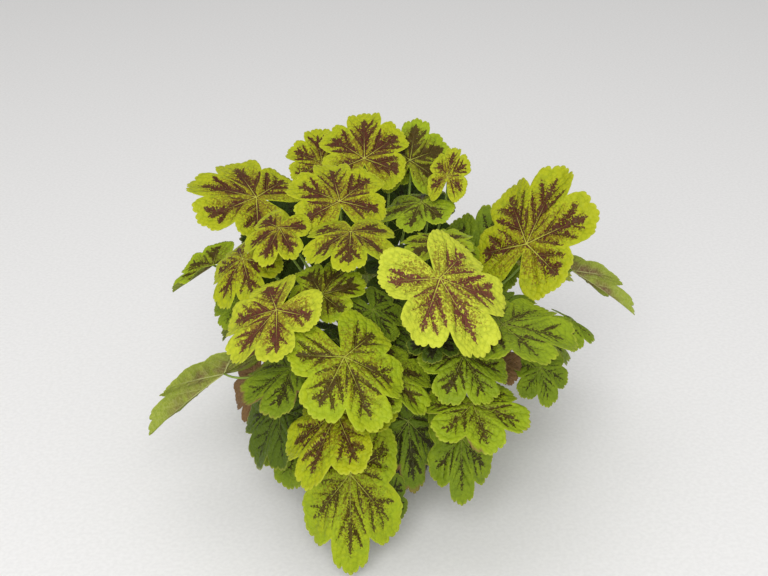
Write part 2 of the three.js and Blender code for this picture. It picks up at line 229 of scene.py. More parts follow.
# Thickness and veins, in millimetres.
BLADE_THICKNESS = 0.7
MARGIN_THICKNESS = 0.4
MARGIN_THINNING = 6
MARGIN_BULGE = 0.2
VEIN_WIDTH = 0.9
VEIN_DEPTH = 0.35
VEIN_KEEL = 0.7
VEIN_FADES = (0.5, 0.9)

# Side veins, in leaf lengths: how far apart they leave the main vein, how they lean and the
# sine of their angle with it. The blade puffs up between them.
SIDE_VEIN_EVERY = 0.23
SIDE_VEIN_LEAN = 1.4
SIDE_VEIN_SINE = 0.58
QUILT = 0.017
PUFFS_OFF_VEIN = (0.0, 0.05)
PUFFS_START = (0.0, 0.12)
PUFFS_END = (0.55, 0.75)
PUFFS_OFF_MARGIN = (0.6, 0.95)
PUFFS_OFF_GAP = 3
RUFFLE = 0.024
RUFFLE_WAVES = (5, 8, 13)
RUFFLE_GROWTH = 2.5

# Stalk: its thickness in millimetres, its taper, flared foot, swellings and groove.
STALK_SIDES = 12
STALK_STEPS = 26
STALK_RADIUS = 1.35
STALK_TAPER = 0.22
STALK_FLARE = 1.0
STALK_FLARE_FALL = 14
STALK_UNEVENNESS = 0.04
STALK_SWELLINGS = 23
STALK_GROOVE = 0.14
STALK_GROOVE_WIDTH = 0.5
STALK_SINK = 0.5
ASKEW = (0.3, 0.7, 0.2)
SEED = 20
SEED_STEP = 0.37
LOBE_DICE = 40.0


# ---- node graphs ----
class Graph:
    """A material's node tree, fed with sockets, numbers and tuples."""

    def __init__(self, name):
        self.material = bpy.data.materials.new(name)
        self.material.use_nodes = True
        self.tree = self.material.node_tree
        self.tree.nodes.clear()
        output = self.node("OutputMaterial")
        self.shader = self.node("BsdfPrincipled")
        self.feed(output.inputs[0], self.shader.outputs[0])

    def feed(self, socket, value):
        if isinstance(value, bpy.types.NodeSocket):
            self.tree.links.new(value, socket)
        else:
            socket.default_value = value

    def node(self, kind, *values, **settings):
        """A node with these settings; values feed its inputs in order, or by name in a dict."""
        node = self.tree.nodes.new("ShaderNode" + kind)
        for name, setting in settings.items():
            setattr(node, name, setting)
        if values and isinstance(values[0], dict):
            for name, value in values[0].items():
                self.feed(node.inputs[name], value)
        else:
            for socket, value in zip(node.inputs, values):
                self.feed(socket, value)
        return node

    def math(self, operation, *values):
        return self.node("Math", *values, operation=operation).outputs[0]

    def add(self, first, *others):
        for other in others:
            first = self.math("ADD", first, other)
        return first

    def times(self, first, *others):
        for other in others:
            first = self.math("MULTIPLY", first, other)
        return first

    def subtract(self, first, second):
        return self.math("SUBTRACT", first, second)

    def scaled(self, value, factor, shift):
        """value times factor, plus shift."""
        return self.math("MULTIPLY_ADD", value, factor, shift)

    def swayed(self, value, weight, middle):
        """middle, moved up or down by a value of 0 to 1."""
        return self.scaled(self.subtract(value, 0.5), weight, middle)

    def ramp(self, value, low, high, start=0.0, end=1.0):
        """value carried smoothly from low..high to start..end."""
        node = self.node("MapRange", value, low, high, start, end, interpolation_type="SMOOTHSTEP")
        return node.outputs[0]

    def mix(self, share, first, second):
        """A colour between first and second."""
        node = self.node("Mix", dict(Factor=share), data_type="RGBA")
        colours = [s for s in node.inputs if s.type == "RGBA"]
        self.feed(colours[0], first)
        self.feed(colours[1], second)
        return [s for s in node.outputs if s.type == "RGBA"][0]

    def uv(self, name):
        return self.node("UVMap", uv_map=name).outputs[0]

    def kept(self, *names):
        """The numbers kept on the mesh under these names."""
        return [self.node("Attribute", attribute_name=name).outputs["Fac"] for name in names]

    def parts(self, vector):
        return self.node("SeparateXYZ", vector).outputs

    def moved(self, vector, amount, operation="ADD"):
        """vector with amount added to its parts, or multiplied in."""
        return self.node("VectorMath", vector, amount, operation=operation).outputs[0]

    def noise(self, vector, scale, detail=2.0, roughness=0.5):
        inputs = dict(Vector=vector, Scale=scale, Detail=detail, Roughness=roughness)
        return self.node("TexNoise", inputs).outputs["Fac"]

    def cells(self, vector, scale, feature="F1"):
        """Voronoi cells: Distance from their middles or edges, and a Color for each."""
        return self.node("TexVoronoi", dict(Vector=vector, Scale=scale), feature=feature).outputs

    def dice(self, x, y, z):
        """One random number, 0 to 1, for each set of three numbers."""
        joined = self.node("CombineXYZ", x, y, z).outputs[0]
        node = self.node("TexWhiteNoise", dict(Vector=joined), noise_dimensions="3D")
        return node.outputs["Value"]

    def bump(self, height, strength, distance):
        node = self.node("Bump", dict(Height=height, Strength=strength, Distance=distance))
        self.feed(self.shader.inputs["Normal"], node.outputs[0])

    def finish(self, colour, roughness, specular):
        values = {"Base Color": colour, "Roughness": roughness, "Specular IOR Level": specular}
        for name, value in values.items():
            self.feed(self.shader.inputs[name], value)
        return self.material

    def position(self):
        return self.node("TexCoord").outputs["Object"]


# ---- leaf materials ----
# LIME_SUNLIT is painted light, a lit copy of LIME for leaves in full painted sunlight.
LIME_SUNLIT = srgb(192, 200, 56)
LIME = srgb(168, 174, 22)
LIME_GREEN = srgb(150, 170, 28)
LEAF_GREEN = srgb(110, 132, 30)
# painted shade: the darkest green, for leaves that stand in shade
PAINTED_SHADE_GREEN = srgb(48, 64, 14)
# painted light and shade: lit and shaded copies of the marks' burgundy; the darkest one is also their
# real dark grain
BURGUNDY_SUNLIT = srgb(106, 48, 46)
BURGUNDY = srgb(82, 32, 30)
MARK_BROWN = srgb(74, 54, 20)
MARK_DARK_GRAIN_AND_SHADE = srgb(40, 36, 20)
OLIVE_BROWN = srgb(116, 84, 24)
# the pale veins, also painted as a highlight along the rim
VEIN_PALE_AND_RIM_HIGHLIGHT = srgb(196, 198, 72)
VEIN_GREEN = srgb(138, 152, 60)
# painted light: the paler underside of lit leaves, as if light shone through the blade
UNDER_PAINTED_LIGHT = srgb(148, 160, 56)
UNDER_GREEN = srgb(108, 128, 46)
UNDER_PURPLE = srgb(112, 88, 62)
UNDER_VEIN = srgb(188, 192, 124)
DRY_BROWN = srgb(146, 114, 74)
DRY_DARK = srgb(92, 66, 42)
STALK_GREEN = srgb(142, 166, 62)
STALK_FOOT = srgb(120, 92, 70)

# Textures: how many of their features lie along a metre.
WOBBLE_SCALE = 90.0
PATCH_SCALE = 62.0
PUCKER_SCALE = 270.0
RAGGED_SCALE = 330.0
GRAIN_SCALE = 620.0
SPECKLE_SCALE = 850.0

# Ramps: a value that goes from the first number to the second gives one that goes from the
# third to the fourth, or from 0 to 1. Most of a noise lies in its middle.
NOISE_MIDDLE = (0.3, 0.7)

# What comes in with a leaf's painted light and tone, 0 in painted deep shade and 1 in
# # full painted sunlight: lit leaves are painted lighter and more lime, shaded ones darker.
GREEN_FROM = (0.1, 0.55)
LIME_GREEN_FROM = (0.3, 0.66)
LIME_FROM = (0.6, 0.9)
SUNLIT_FROM = (0.86, 1.0)
MARK_BROWN_FROM = (0.3, 0.65)
BURGUNDY_FROM = (0.72, 0.88)
OLIVE_FROM = (0.4, 0.8)
PALE_VEINS_FROM = (0.3, 0.9)
UNDER_PAINTED_LIGHT_FROM = (0.1, 0.6)

# The sway of the veins and the dark strokes along them, in leaf lengths.
VEIN_SWAY = 0.07
STROKE_SWELLS = (0.1, 0.42, 0.016, 0.062)
STROKE_ENDS = (0.55, 0.95, 1.0, 0.1)
SIDE_STRENGTH = (0.1, 0.8, 0.3, 1.25)
SIDE_STROKE_SWELLS = (0.0, 0.06, 0.018, 0.029)
SIDE_STROKE_REACH = (0.1, 0.28, 1.0, 0.1)
SIDE_STROKES_START = (0.04, 0.16, 0.1, 1.0)
SIDE_STROKES_END = (0.52, 0.7, 1.0, 0.1)
SIDE_GROOVE = (0.0, 0.02, 1.0, 0.0)


def vein_coordinates(g, wobble, seed):
    """Where a point lies in its lobe, in leaf lengths: along the main vein, beside it (with
    its sign, and swaying without), where its side vein leaves the main one and how far off
    that one is; then a random number for each side vein and one for each lobe. The side
    veins of one side start half way between those of the other."""
    along, aside, _ = g.parts(g.uv("lobe"))
    [vein] = g.kept("vein")
    shift = g.scaled(wobble, VEIN_SWAY, -VEIN_SWAY / 2)
    away = g.math("ABSOLUTE", g.add(aside, g.times(shift, 0.5)))
    side = g.times(g.math("GREATER_THAN", aside, 0.0), 0.5)
    start = g.subtract(g.add(along, shift), g.times(away, SIDE_VEIN_LEAN))
    turn = g.add(g.math("DIVIDE", start, SIDE_VEIN_EVERY), side)
    nearest = g.math("ABSOLUTE", g.subtract(g.math("FRACT", turn), 0.5))
    beside = g.times(nearest, SIDE_VEIN_EVERY * SIDE_VEIN_SINE)
    side_chance = g.dice(g.math("FLOOR", turn), g.add(side, seed), vein)
    lobe_chance = g.dice(LOBE_DICE, seed, vein)
    return along, aside, away, start, beside, side_chance, lobe_chance


def brush_strokes(g, along, away, start, beside, side_chance, lobe_chance):
    """How deep a point lies in the dark strokes that follow the veins: 1 on a vein, 0 at a
    stroke's edge, less outside. Some side strokes are wide and long, others faint."""
    width = g.times(g.ramp(along, *STROKE_SWELLS), g.ramp(along, *STROKE_ENDS),
                    g.scaled(lobe_chance, 0.5, 0.75))
    on_main = g.subtract(1.0, g.math("DIVIDE", away, width))
    strength = g.ramp(side_chance, *SIDE_STRENGTH)
    side_width = g.times(g.ramp(away, *SIDE_STROKE_SWELLS), strength,
                         g.ramp(g.math("DIVIDE", away, strength), *SIDE_STROKE_REACH),
                         g.ramp(start, *SIDE_STROKES_END), g.ramp(start, *SIDE_STROKES_START))
    on_side = g.subtract(1.0, g.math("DIVIDE", beside, side_width))
    return g.math("MAXIMUM", g.math("MAXIMUM", on_main, on_side), -1.6)


def ground_colour(g, painted_light_and_tone, mark, edge, strokes, patches, fine, chance, pucker):
    """Painted light and shade: lime, lit lighter on leaves in painted sunlight, turning to a
    darker painted shade green on shaded ones; greener too in the net between its puckers,
    with olive specks that gather towards the strokes and are painted green in shade."""
    lime = g.mix(g.ramp(painted_light_and_tone, *SUNLIT_FROM), LIME, LIME_SUNLIT)
    green = g.mix(g.ramp(painted_light_and_tone, *GREEN_FROM), PAINTED_SHADE_GREEN, LEAF_GREEN)
    patchy_light_and_tone = g.swayed(patches, 0.35, painted_light_and_tone)
    ground = g.mix(g.ramp(patchy_light_and_tone, *LIME_GREEN_FROM), green, LIME_GREEN)
    ground = g.mix(g.ramp(patchy_light_and_tone, *LIME_FROM), ground, lime)
    net = g.times(g.ramp(pucker, 0.35, 0.75), g.ramp(edge, 0.75, 1.0, 0.32, 0.1))
    ground = g.mix(net, ground, green)
    near = g.add(g.times(strokes, 0.05), g.ramp(edge, 0.35, 0.9, 0.075, -0.08),
                 g.times(g.subtract(mark, 0.8), 0.2))
    near = g.add(fine, near, g.times(g.subtract(chance, 0.5), 0.25))
    specks = g.times(g.ramp(near, 0.47, 0.55), g.ramp(edge, 0.66, 0.9, 0.75, 0.0))
    return g.mix(specks, ground, g.mix(g.ramp(painted_light_and_tone, *OLIVE_FROM), green, OLIVE_BROWN))


def marking_colour(g, painted_light_and_tone, fine):
    """Painted light and shade on the marks: burgundy, lit lighter on leaves in painted sunlight,
    brown and nearly black as painted shade on the shaded ones, with a dark grain on all.
    """
    marking = g.mix(g.ramp(painted_light_and_tone, *SUNLIT_FROM), BURGUNDY, BURGUNDY_SUNLIT)
    marking = g.mix(g.ramp(painted_light_and_tone, *BURGUNDY_FROM), MARK_BROWN, marking)
    marking = g.mix(g.ramp(painted_light_and_tone, *MARK_BROWN_FROM), MARK_DARK_GRAIN_AND_SHADE, marking)
    return g.mix(g.ramp(fine, 0.4, 0.6, 0.45, 0.0), marking, MARK_DARK_GRAIN_AND_SHADE)


def vein_lines(g, along, aside, away, start, beside):
    """How strongly the pale lines of the veins show, fine towards the margin."""
    width = g.math("MAXIMUM", g.scaled(along, -0.014, 0.0095), 0.0024)
    line = g.ramp(g.math("DIVIDE", g.math("ABSOLUTE", aside), width), 0.4, 1.1, 1.0, 0.0)
    line = g.times(line, g.ramp(along, 0.2, 0.6, 0.85, 0.12))
    side_line = g.times(g.ramp(beside, 0.001, 0.0042, 0.34, 0.0),
                        g.ramp(away, 0.04, 0.22, 1.0, 0.0), g.ramp(start, 0.0, 0.5, 1.0, 0.2))
    return g.math("MAXIMUM", line, side_line)


def blade_top_material():
    g = Graph("leaf_upper_side")
    seed, painted_light_and_tone, mark, edge, dry = g.kept("seed", "painted_light_and_tone", "mark", "edge", "dry")
    plane = g.moved(g.uv("plane"), seed)
    wobble = g.noise(plane, WOBBLE_SCALE)
    patches = g.noise(plane, PATCH_SCALE, detail=3.0, roughness=0.55)
    ragged = g.noise(plane, RAGGED_SCALE, detail=3.0, roughness=0.65)
    fine = g.noise(plane, GRAIN_SCALE, detail=3.0, roughness=0.7)
    chance = g.parts(g.cells(plane, SPECKLE_SCALE)["Color"])[0]
    pucker = g.cells(g.moved(plane, g.times(ragged, 0.002)), PUCKER_SCALE)["Distance"]
    along, aside, away, start, beside, side_chance, lobe_chance = vein_coordinates(g, wobble, seed)

    # dark strokes along the veins, solid inside and broken into specks at their edges
    strokes = brush_strokes(g, along, away, start, beside, side_chance, lobe_chance)
    depth = g.add(strokes, g.ramp(edge, 0.76, 0.95, 0.0, -3.0), g.scaled(mark, 1.5, -1.1))
    for texture, weight in ((patches, 2.0), (ragged, 2.6), (chance, 0.9), (fine, 3.4)):
        depth = g.swayed(texture, weight, depth)
    dark = g.times(g.ramp(depth, 0.1, 0.6), 0.94)
    ground = ground_colour(g, painted_light_and_tone, mark, edge, strokes, patches, fine, chance, pucker)
    colour = g.mix(dark, ground, marking_colour(g, painted_light_and_tone, fine))

    # pale veins, greener on shaded leaves as painted shade, and a painted highlight on the rim
    veins = vein_lines(g, along, aside, away, start, beside)
    colour = g.mix(veins, colour, g.mix(g.ramp(painted_light_and_tone, *PALE_VEINS_FROM), VEIN_GREEN, VEIN_PALE_AND_RIM_HIGHLIGHT))
    # painted highlight: a pale line along the margin
    colour = g.mix(g.ramp(edge, 0.955, 0.995, 0.0, 0.3), colour, VEIN_PALE_AND_RIM_HIGHLIGHT)

    # withered tissue, from the margin inwards
    reach = g.add(g.scaled(edge, 0.9, g.scaled(patches, 0.5, -0.7)), dry)
    withered = g.times(g.ramp(reach, 0.72, 0.86), g.math("GREATER_THAN", dry, 0.01))
    colour = g.mix(withered, colour, g.mix(fine, DRY_DARK, DRY_BROWN))

    # puckers, with grooves along the side veins
    grooves = g.times(g.ramp(beside, *SIDE_GROOVE), g.ramp(start, 0.0, 0.08))
    relief = g.subtract(1.0, g.times(pucker, pucker, 1.6))
    relief = g.subtract(relief, g.times(grooves, g.ramp(edge, 0.6, 0.95, 0.8, 0.1)))
    g.bump(g.add(relief, g.times(fine, 0.25)), strength=0.75, distance=0.001)
    return g.finish(colour, g.ramp(fine, *NOISE_MIDDLE, 0.42, 0.6), specular=0.14)


def blade_under_material():
    g = Graph("leaf_underside")
    seed, painted_light_and_tone, mark, edge = g.kept("seed", "painted_light_and_tone", "mark", "edge")
    plane = g.moved(g.uv("plane"), seed)
    wobble = g.noise(plane, WOBBLE_SCALE)
    patches = g.noise(plane, PATCH_SCALE, detail=4.0, roughness=0.6)
    fine = g.noise(plane, scale=420.0, detail=3.0, roughness=0.7)
    net = g.cells(plane, SPECKLE_SCALE / 2, "DISTANCE_TO_EDGE")["Distance"]
    _, aside, away, _, beside, _, _ = vein_coordinates(g, wobble, seed)
    # painted light: lit leaves get a paler underside, shaded ones a darker green one
    colour = g.mix(g.ramp(painted_light_and_tone, *UNDER_PAINTED_LIGHT_FROM), UNDER_GREEN, UNDER_PAINTED_LIGHT)
    colour = g.mix(g.ramp(fine, 0.35, 0.65, 0.0, 0.4), colour, UNDER_GREEN)

    # a purple tint by the veins, then the pale veins and their net
    tint = g.times(g.ramp(away, 0.05, 0.22, 1.0, 0.35), g.ramp(edge, 0.5, 0.9, 1.0, 0.0),
                   g.ramp(patches, 0.3, 0.6), mark)
    colour = g.mix(tint, colour, UNDER_PURPLE)
    line = g.ramp(g.math("ABSOLUTE", aside), 0.004, 0.014, 1.0, 0.0)
    line = g.math("MAXIMUM", line, g.ramp(beside, 0.001, 0.007, 0.45, 0.0))
    colour = g.mix(g.times(line, g.ramp(edge, 0.3, 0.9, 0.9, 0.1)), colour, UNDER_VEIN)
    colour = g.mix(g.ramp(net, 0.0, 0.12, 0.25, 0.0), colour, UNDER_VEIN)
    relief = g.add(g.ramp(net, 0.0, 0.2, 0.6, 0.0), g.ramp(beside, *SIDE_GROOVE))
    g.bump(relief, strength=0.5, distance=0.0005)
    return g.finish(colour, g.ramp(fine, *NOISE_MIDDLE, 0.55, 0.75), specular=0.15)


def stalk_material():
    g = Graph("leaf_stalk")
    seed, edge = g.kept("seed", "edge")
    plane = g.uv("plane")
    stretched = g.moved(plane, (900.0, 60.0, 1.0), "MULTIPLY")
    streaks = g.noise(g.moved(stretched, seed), scale=1.0, detail=3.0)
    speckle = g.noise(g.moved(plane, seed), scale=700.0)
    foot = g.times(g.ramp(edge, 0.0, 0.35, 0.85, 0.0), g.ramp(speckle, 0.2, 0.7))
    colour = g.mix(g.ramp(streaks, 0.35, 0.7), STALK_GREEN, UNDER_GREEN)
    colour = g.mix(foot, colour, STALK_FOOT)
    g.bump(g.add(streaks, g.times(speckle, 0.4)), strength=0.5, distance=0.0003)
    return g.finish(colour, g.ramp(speckle, *NOISE_MIDDLE, 0.45, 0.65), specular=0.35)


# ---- leaf form ----
def polar(angle, radius):
    """The point at this angle, in degrees, and radius."""
    turn = radians(angle)
    return radius * np.array([cos(turn), sin(turn)])


def gaps_round_leaf():
    """The lobes from one side of the sinus to the other: (tip angle, gap before it, gap
    after it, length, radius before, radius after)."""
    half = []
    before, radius_before = -LOBES[0]["gap_at"], LOBES[0]["gap"]
    for lobe in LOBES:
        half.append((lobe["at"], before, lobe["gap_at"], lobe["length"], radius_before, lobe["gap"]))
        before, radius_before = lobe["gap_at"], lobe["gap"]
    mirrored = [(-at, -after, -before, length, r_after, r_before)
                for at, before, after, length, r_before, r_after in reversed(half[1:])]
    return mirrored + half


def sinus_side(start, end, rays, vein_at):
    """Rows of the outline along a straight side of the sinus, up to just before its end."""
    rows = []
    for k in range(rays):
        x, y = start + (end - start) * k / rays
        radius = hypot(x, y)
        rows.append((degrees(atan2(y, x)), radius, radius, 1.0, vein_at))
    return rows


def blade_outline(rng, bluntness, tooth_share):
    """Rows round a leaf of length 1: angle, radius without and with teeth, place across
    the lobe (0 tip, 1 gap) and the angle of the lobe's vein, from -180 to 180 degrees."""
    lobes = gaps_round_leaf()
    first_at, first_gap = lobes[0][:2]
    last_at, _, last_gap = lobes[-1][:3]
    edge_radius = lobes[0][4]
    sinus_rays = max(FEWEST_SINUS_RAYS, round((180 + first_gap) / (2 * RAY_STEP)))
    stalk_end = np.array([-SINUS_RADIUS, 0.0])
    rows = sinus_side(stalk_end, polar(first_gap, edge_radius), sinus_rays, first_at)
    rows[0] = (-180.0, *rows[0][1:])
    for at, before, after, length, radius_before, radius_after in lobes:
        grown = length * (1 + LOBE_VARIATION * rng.uniform(-1, 1))
        for gap_at, gap, outwards in ((before, radius_before, -1), (after, radius_after, 1)):
            # half a tooth more, so that the gap is a notch where the tip is a tooth
            teeth = max(FEWEST_TEETH, round(abs(gap_at - at) / TOOTH_EVERY)) + 0.5
            rays = round(teeth * RAYS_PER_TOOTH)
            for k in range(rays):
                share = 1 - k / rays if outwards < 0 else k / rays
                envelope = grown + (gap - grown) * share ** bluntness
                tooth = 1 - abs(cos(COARSE_TEETH * pi * share)) ** TOOTH_ROUNDNESS
                crenation = 1 - abs(cos(teeth * pi * share)) ** CRENATION_ROUNDNESS
                depth = TOOTH_DEPTH * tooth + CRENATION_DEPTH * tooth_share * crenation
                cut = depth * (1 - share ** TEETH_END)
                rows.append((at + (gap_at - at) * share, envelope, envelope * (1 - cut), share, at))
    rows += sinus_side(polar(last_gap, edge_radius), stalk_end, sinus_rays, last_at)
    return np.array(rows)


def leaf_frame(leaf):
    """The leaf's own axes: along its midrib, to its left and up from its blade."""
    heading = radians(leaf.heading)
    nod = radians(leaf.nod)
    bank = radians(leaf.bank)
    ahead = np.array([cos(heading), sin(heading)])
    along = np.array([*(ahead * cos(nod)), -sin(nod)])
    upright = np.array([*(ahead * sin(nod)), cos(nod)])
    upright = upright * cos(bank) + np.cross(along, upright) * sin(bank)
    return along, np.cross(upright, along), upright


def smooth(value, low, high):
    """0 below low, 1 above high and a smooth rise between them."""
    share = np.clip((value - low) / (high - low), 0, 1)
    return share * share * (3 - 2 * share)


def fill(items, name, values, kind=np.float32):
    """Sets one property of all the items from an array."""
    items.foreach_set(name, np.asarray(values, kind).reshape(-1))


class Mesher:
    """Gathers vertices, faces and the numbers kept on them, and makes one mesh."""

    def __init__(self):
        self.points = []
        self.edges = []
        self.faces = []
        self.count = 0

    def add_points(self, points, edge):
        """Adds points with their share of the way to the margin; returns the first's index."""
        start = self.count
        self.points.append(points)
        self.edges.append(edge)
        self.count += len(points)
        return start

    def add_faces(self, faces, material, plane, lobe, vein=0.0):
        """faces is (n, corners); plane and lobe are (n, corners, 2); vein is the direction
        of the main vein of each face's lobe."""
        self.faces.append((faces.reshape(-1), np.full(len(faces), faces.shape[1]),
                           np.full(len(faces), material), np.broadcast_to(vein, len(faces)),
                           plane.reshape(-1, 2), lobe.reshape(-1, 2)))

    def build(self, name, materials, numbers):
        mesh = bpy.data.meshes.new(name)
        points = np.concatenate(self.points)
        corners, sizes, slots, veins, plane, lobe = [np.concatenate(part) for part in zip(*self.faces)]
        mesh.vertices.add(len(points))
        mesh.loops.add(len(corners))
        mesh.polygons.add(len(sizes))
        fill(mesh.vertices, "co", points * MM)
        fill(mesh.loops, "vertex_index", corners, np.int32)
        fill(mesh.polygons, "loop_start", np.cumsum(sizes) - sizes, np.int32)
        fill(mesh.polygons, "material_index", slots, np.int32)
        mesh.update(calc_edges=True)
        for layer_name, values in (("plane", plane), ("lobe", lobe)):
            fill(mesh.uv_layers.new(name=layer_name).uv, "vector", values)
        for number_name, value in {"edge": np.concatenate(self.edges), **numbers}.items():
            kept = mesh.attributes.new(number_name, "FLOAT", "POINT")
            fill(kept.data, "value", np.broadcast_to(value, len(points)))
        fill(mesh.attributes.new("vein", "FLOAT", "FACE").data, "value", veins)
        fill(mesh.polygons, "use_smooth", np.ones(len(sizes)), bool)
        for material in materials:
            mesh.materials.append(material)
        mesh.validate()
        return put_in_scene(name, mesh)


TOP, UNDER, STALK = 0, 1, 2


def puffs(along_vein, from_vein, across, ring):
    """The blade's rise between its side veins, from -1 on them to 1 midway."""
    away = np.abs(from_vein)
    leaving = along_vein - SIDE_VEIN_LEAN * away
    side = 0.5 * (from_vein > 0)
    puff = np.cos(2 * pi * (leaving / SIDE_VEIN_EVERY + side))
    puff = puff * smooth(away, *PUFFS_OFF_VEIN) * (1 - across ** PUFFS_OFF_GAP)
    puff = puff * smooth(leaving, *PUFFS_START) * (1 - smooth(leaving, *PUFFS_END))
    return puff * (1 - smooth(ring, *PUFFS_OFF_MARGIN))


def ruffles(turn, ring, rng):
    """The waves of the blade's edge, which die away inwards."""
    ruffle = np.zeros_like(turn)
    for waves in RUFFLE_WAVES:
        ruffle = ruffle + np.sin(waves * turn + rng.uniform(0, 2 * pi)) / waves
    return ruffle * RUFFLE_WAVES[0] / 2 * ring ** RUFFLE_GROWTH


def blade_grid(leaf, number, rng):
    """The blade as rings by rays, in millimetres: distances ahead of the stalk, to its left
    and up to the upper and under side; then each ring's share of the way to the margin, the
    margin's radius in leaf lengths and the direction of each ray's vein."""
    length = leaf.length
    tooth_share = max(LEAST_TOOTH_SHARE, leaf.spread)
    angle, plain, toothed, across, vein_at = blade_outline(rng, leaf.blunt, tooth_share).T
    rings = int(np.clip(round(length / RING_SIZE), FEWEST_RINGS, MOST_RINGS))
    ring = (np.arange(1, rings + 1) / rings)[:, None] ** RING_CROWDING
    radius = ring * (plain + (toothed - plain) * ring ** TEETH_GROWTH)
    turn = np.radians(angle)
    off_vein = turn - np.radians(vein_at)
    along_vein = radius * np.cos(off_vein)
    from_vein = radius * np.sin(off_vein)

    phase = radians(LEAF_TURN * number)
    rise = -PLEAT * np.cos(pi * across) * radius
    rise = rise + WAVE * np.sin(WAVES_ROUND * turn + phase) * radius ** 2
    rise = rise - leaf.droop * radius ** 2
    rise = rise + QUILT * puffs(along_vein, from_vein, across, ring)
    rise = rise + RUFFLE * ruffles(turn, ring, rng)

    fold = radians(leaf.fold)
    vein = np.exp(-(from_vein * length / VEIN_WIDTH) ** 2) * (1 - smooth(along_vein, *VEIN_FADES))
    vein = vein * (across < 1)
    aside = radius * np.sin(turn) * leaf.spread * length
    ahead = radius * np.cos(turn) * length
    height = rise * length - np.abs(aside) * sin(fold) - VEIN_DEPTH * vein
    thickness = BLADE_THICKNESS + (MARGIN_THICKNESS - BLADE_THICKNESS) * ring ** MARGIN_THINNING
    below = height - thickness - (VEIN_KEEL - VEIN_DEPTH) * vein
    return ahead, aside, height, below, ring[:, 0], radius[-1], np.radians(vein_at)


def add_blade(mesher, leaf, number, rng):
    """The blade: a polar grid on the upper side, the same grid below, and a rounded rim."""
    ahead, aside, height, below, shares, margin, own_vein = blade_grid(leaf, number, rng)
    rings, count = ahead.shape
    cos_fold = cos(radians(leaf.fold))
    along, left, upright = leaf_frame(leaf)
    at = np.array(leaf.at, float)

    def placed(ahead, aside, height):
        return (at + ahead[..., None] * along + (aside * cos_fold)[..., None] * left
                + height[..., None] * upright)

    zero = np.zeros(1)
    rim_out = 1 + MARGIN_BULGE / (leaf.length * margin)
    rim = placed(ahead[-1] * rim_out, aside[-1] * rim_out, (height[-1] + below[-1]) / 2)
    top = np.concatenate([placed(zero, zero, zero), placed(ahead, aside, height).reshape(-1, 3)])
    bottom = np.concatenate([placed(zero, zero, zero - BLADE_THICKNESS),
                             placed(ahead, aside, below).reshape(-1, 3)])
    edge = np.concatenate([[0.0], np.repeat(shares, count)])
    top_start = mesher.add_points(top, edge)
    bottom_start = mesher.add_points(bottom, edge)
    rim_start = mesher.add_points(rim, np.ones(count))
    here = np.arange(count)
    after = (here + 1) % count

    # places on the blade's plane, the middle first and then ring by ring
    flat = np.concatenate([np.zeros((1, count, 2)), np.stack([ahead, aside], -1)])

    def in_lobe(place):
        """The place along and beside the vein of its ray's lobe, in leaf lengths."""
        x = place[:, 0] / leaf.length
        y = place[:, 1] / leaf.length / leaf.spread
        return np.stack([x * np.cos(own_vein) + y * np.sin(own_vein),
                         y * np.cos(own_vein) - x * np.sin(own_vein)], -1)

    def band(corners, places, material, flip=False):
        """One face for each ray; flip turns them to face the other way."""
        if flip:
            corners, places = corners[::-1], places[::-1]
        plane = np.stack([p * MM for p in places], 1)
        lobe = np.stack([in_lobe(p) for p in places], 1)
        mesher.add_faces(np.stack(corners, 1), material, plane, lobe, own_vein)

    for start, material, flip in ((top_start, TOP, False), (bottom_start, UNDER, True)):
        band([np.full(count, start), start + 1 + here, start + 1 + after],
             [flat[0], flat[1], flat[1, after]], material, flip)
        for r in range(1, rings):
            high = start + 1 + r * count
            low = high - count
            band([low + here, high + here, high + after, low + after],
                 [flat[r], flat[r + 1], flat[r + 1, after], flat[r, after]], material, flip)
    over = top_start + len(top) - count
    under = bottom_start + len(bottom) - count
    margin_places = [flat[-1], flat[-1], flat[-1, after], flat[-1, after]]
    band([over + here, rim_start + here, rim_start + after, over + after], margin_places, TOP)
    band([rim_start + here, under + here, under + after, rim_start + after], margin_places, UNDER)


def stalk_directions():
    """The directions in which the stalks leave the crown, pushed apart over its dome."""
    def unit(vector):
        size = sqrt(sum(c ** 2 for c in vector))
        return [c / size for c in vector]

    directions = [unit([x, y, z - SOIL_LEVEL]) for x, y, z in (leaf.at for leaf in LEAVES)]
    apart = radians(STALKS_APART)
    nearest = cos(apart)
    lowest = sin(radians(STALKS_LOWEST))
    for _ in range(PARTING_ROUNDS):
        for i, one in enumerate(directions):
            for j, other in enumerate(directions):
                dot = one[0] * other[0] + one[1] * other[1] + one[2] * other[2]
                if i == j or dot <= nearest:
                    continue
                angle = acos(min(1.0, dot))
                push = unit([a - b for a, b in zip(one, other)])
                amount = (apart - angle) * PARTING_PUSH
                one[:] = unit([a + p * amount for a, p in zip(one, push)])
                other[:] = unit([b - p * amount for b, p in zip(other, push)])
            one[2] = max(one[2], lowest)
            one[:] = unit(one)
    return [np.array(d) for d in directions]


def stalk_path(leaf, outwards):
    """Points along the part's own curve of the stalk, and the share of the way of each."""
    along, _, upright = leaf_frame(leaf)
    start = np.array([0, 0, SOIL_LEVEL]) + outwards * (CROWN_RADIUS + FIT)
    end = np.array(leaf.at, float) - upright * STALK_SINK
    span = np.linalg.norm(end - start)
    leaving = start + outwards * STALK_SURGE * span
    leaving[2] = max(leaving[2], POT_HEIGHT + STALK_OVER_RIM)
    arriving = end - upright * STALK_UNDER * span - along * STALK_BEHIND * span
    t = np.linspace(0, 1, STALK_STEPS + 1)[:, None]
    path = ((1 - t) ** 3 * start + 3 * (1 - t) ** 2 * t * leaving
            + 3 * (1 - t) * t ** 2 * arriving + t ** 3 * end)
    return path, t[:, 0], span


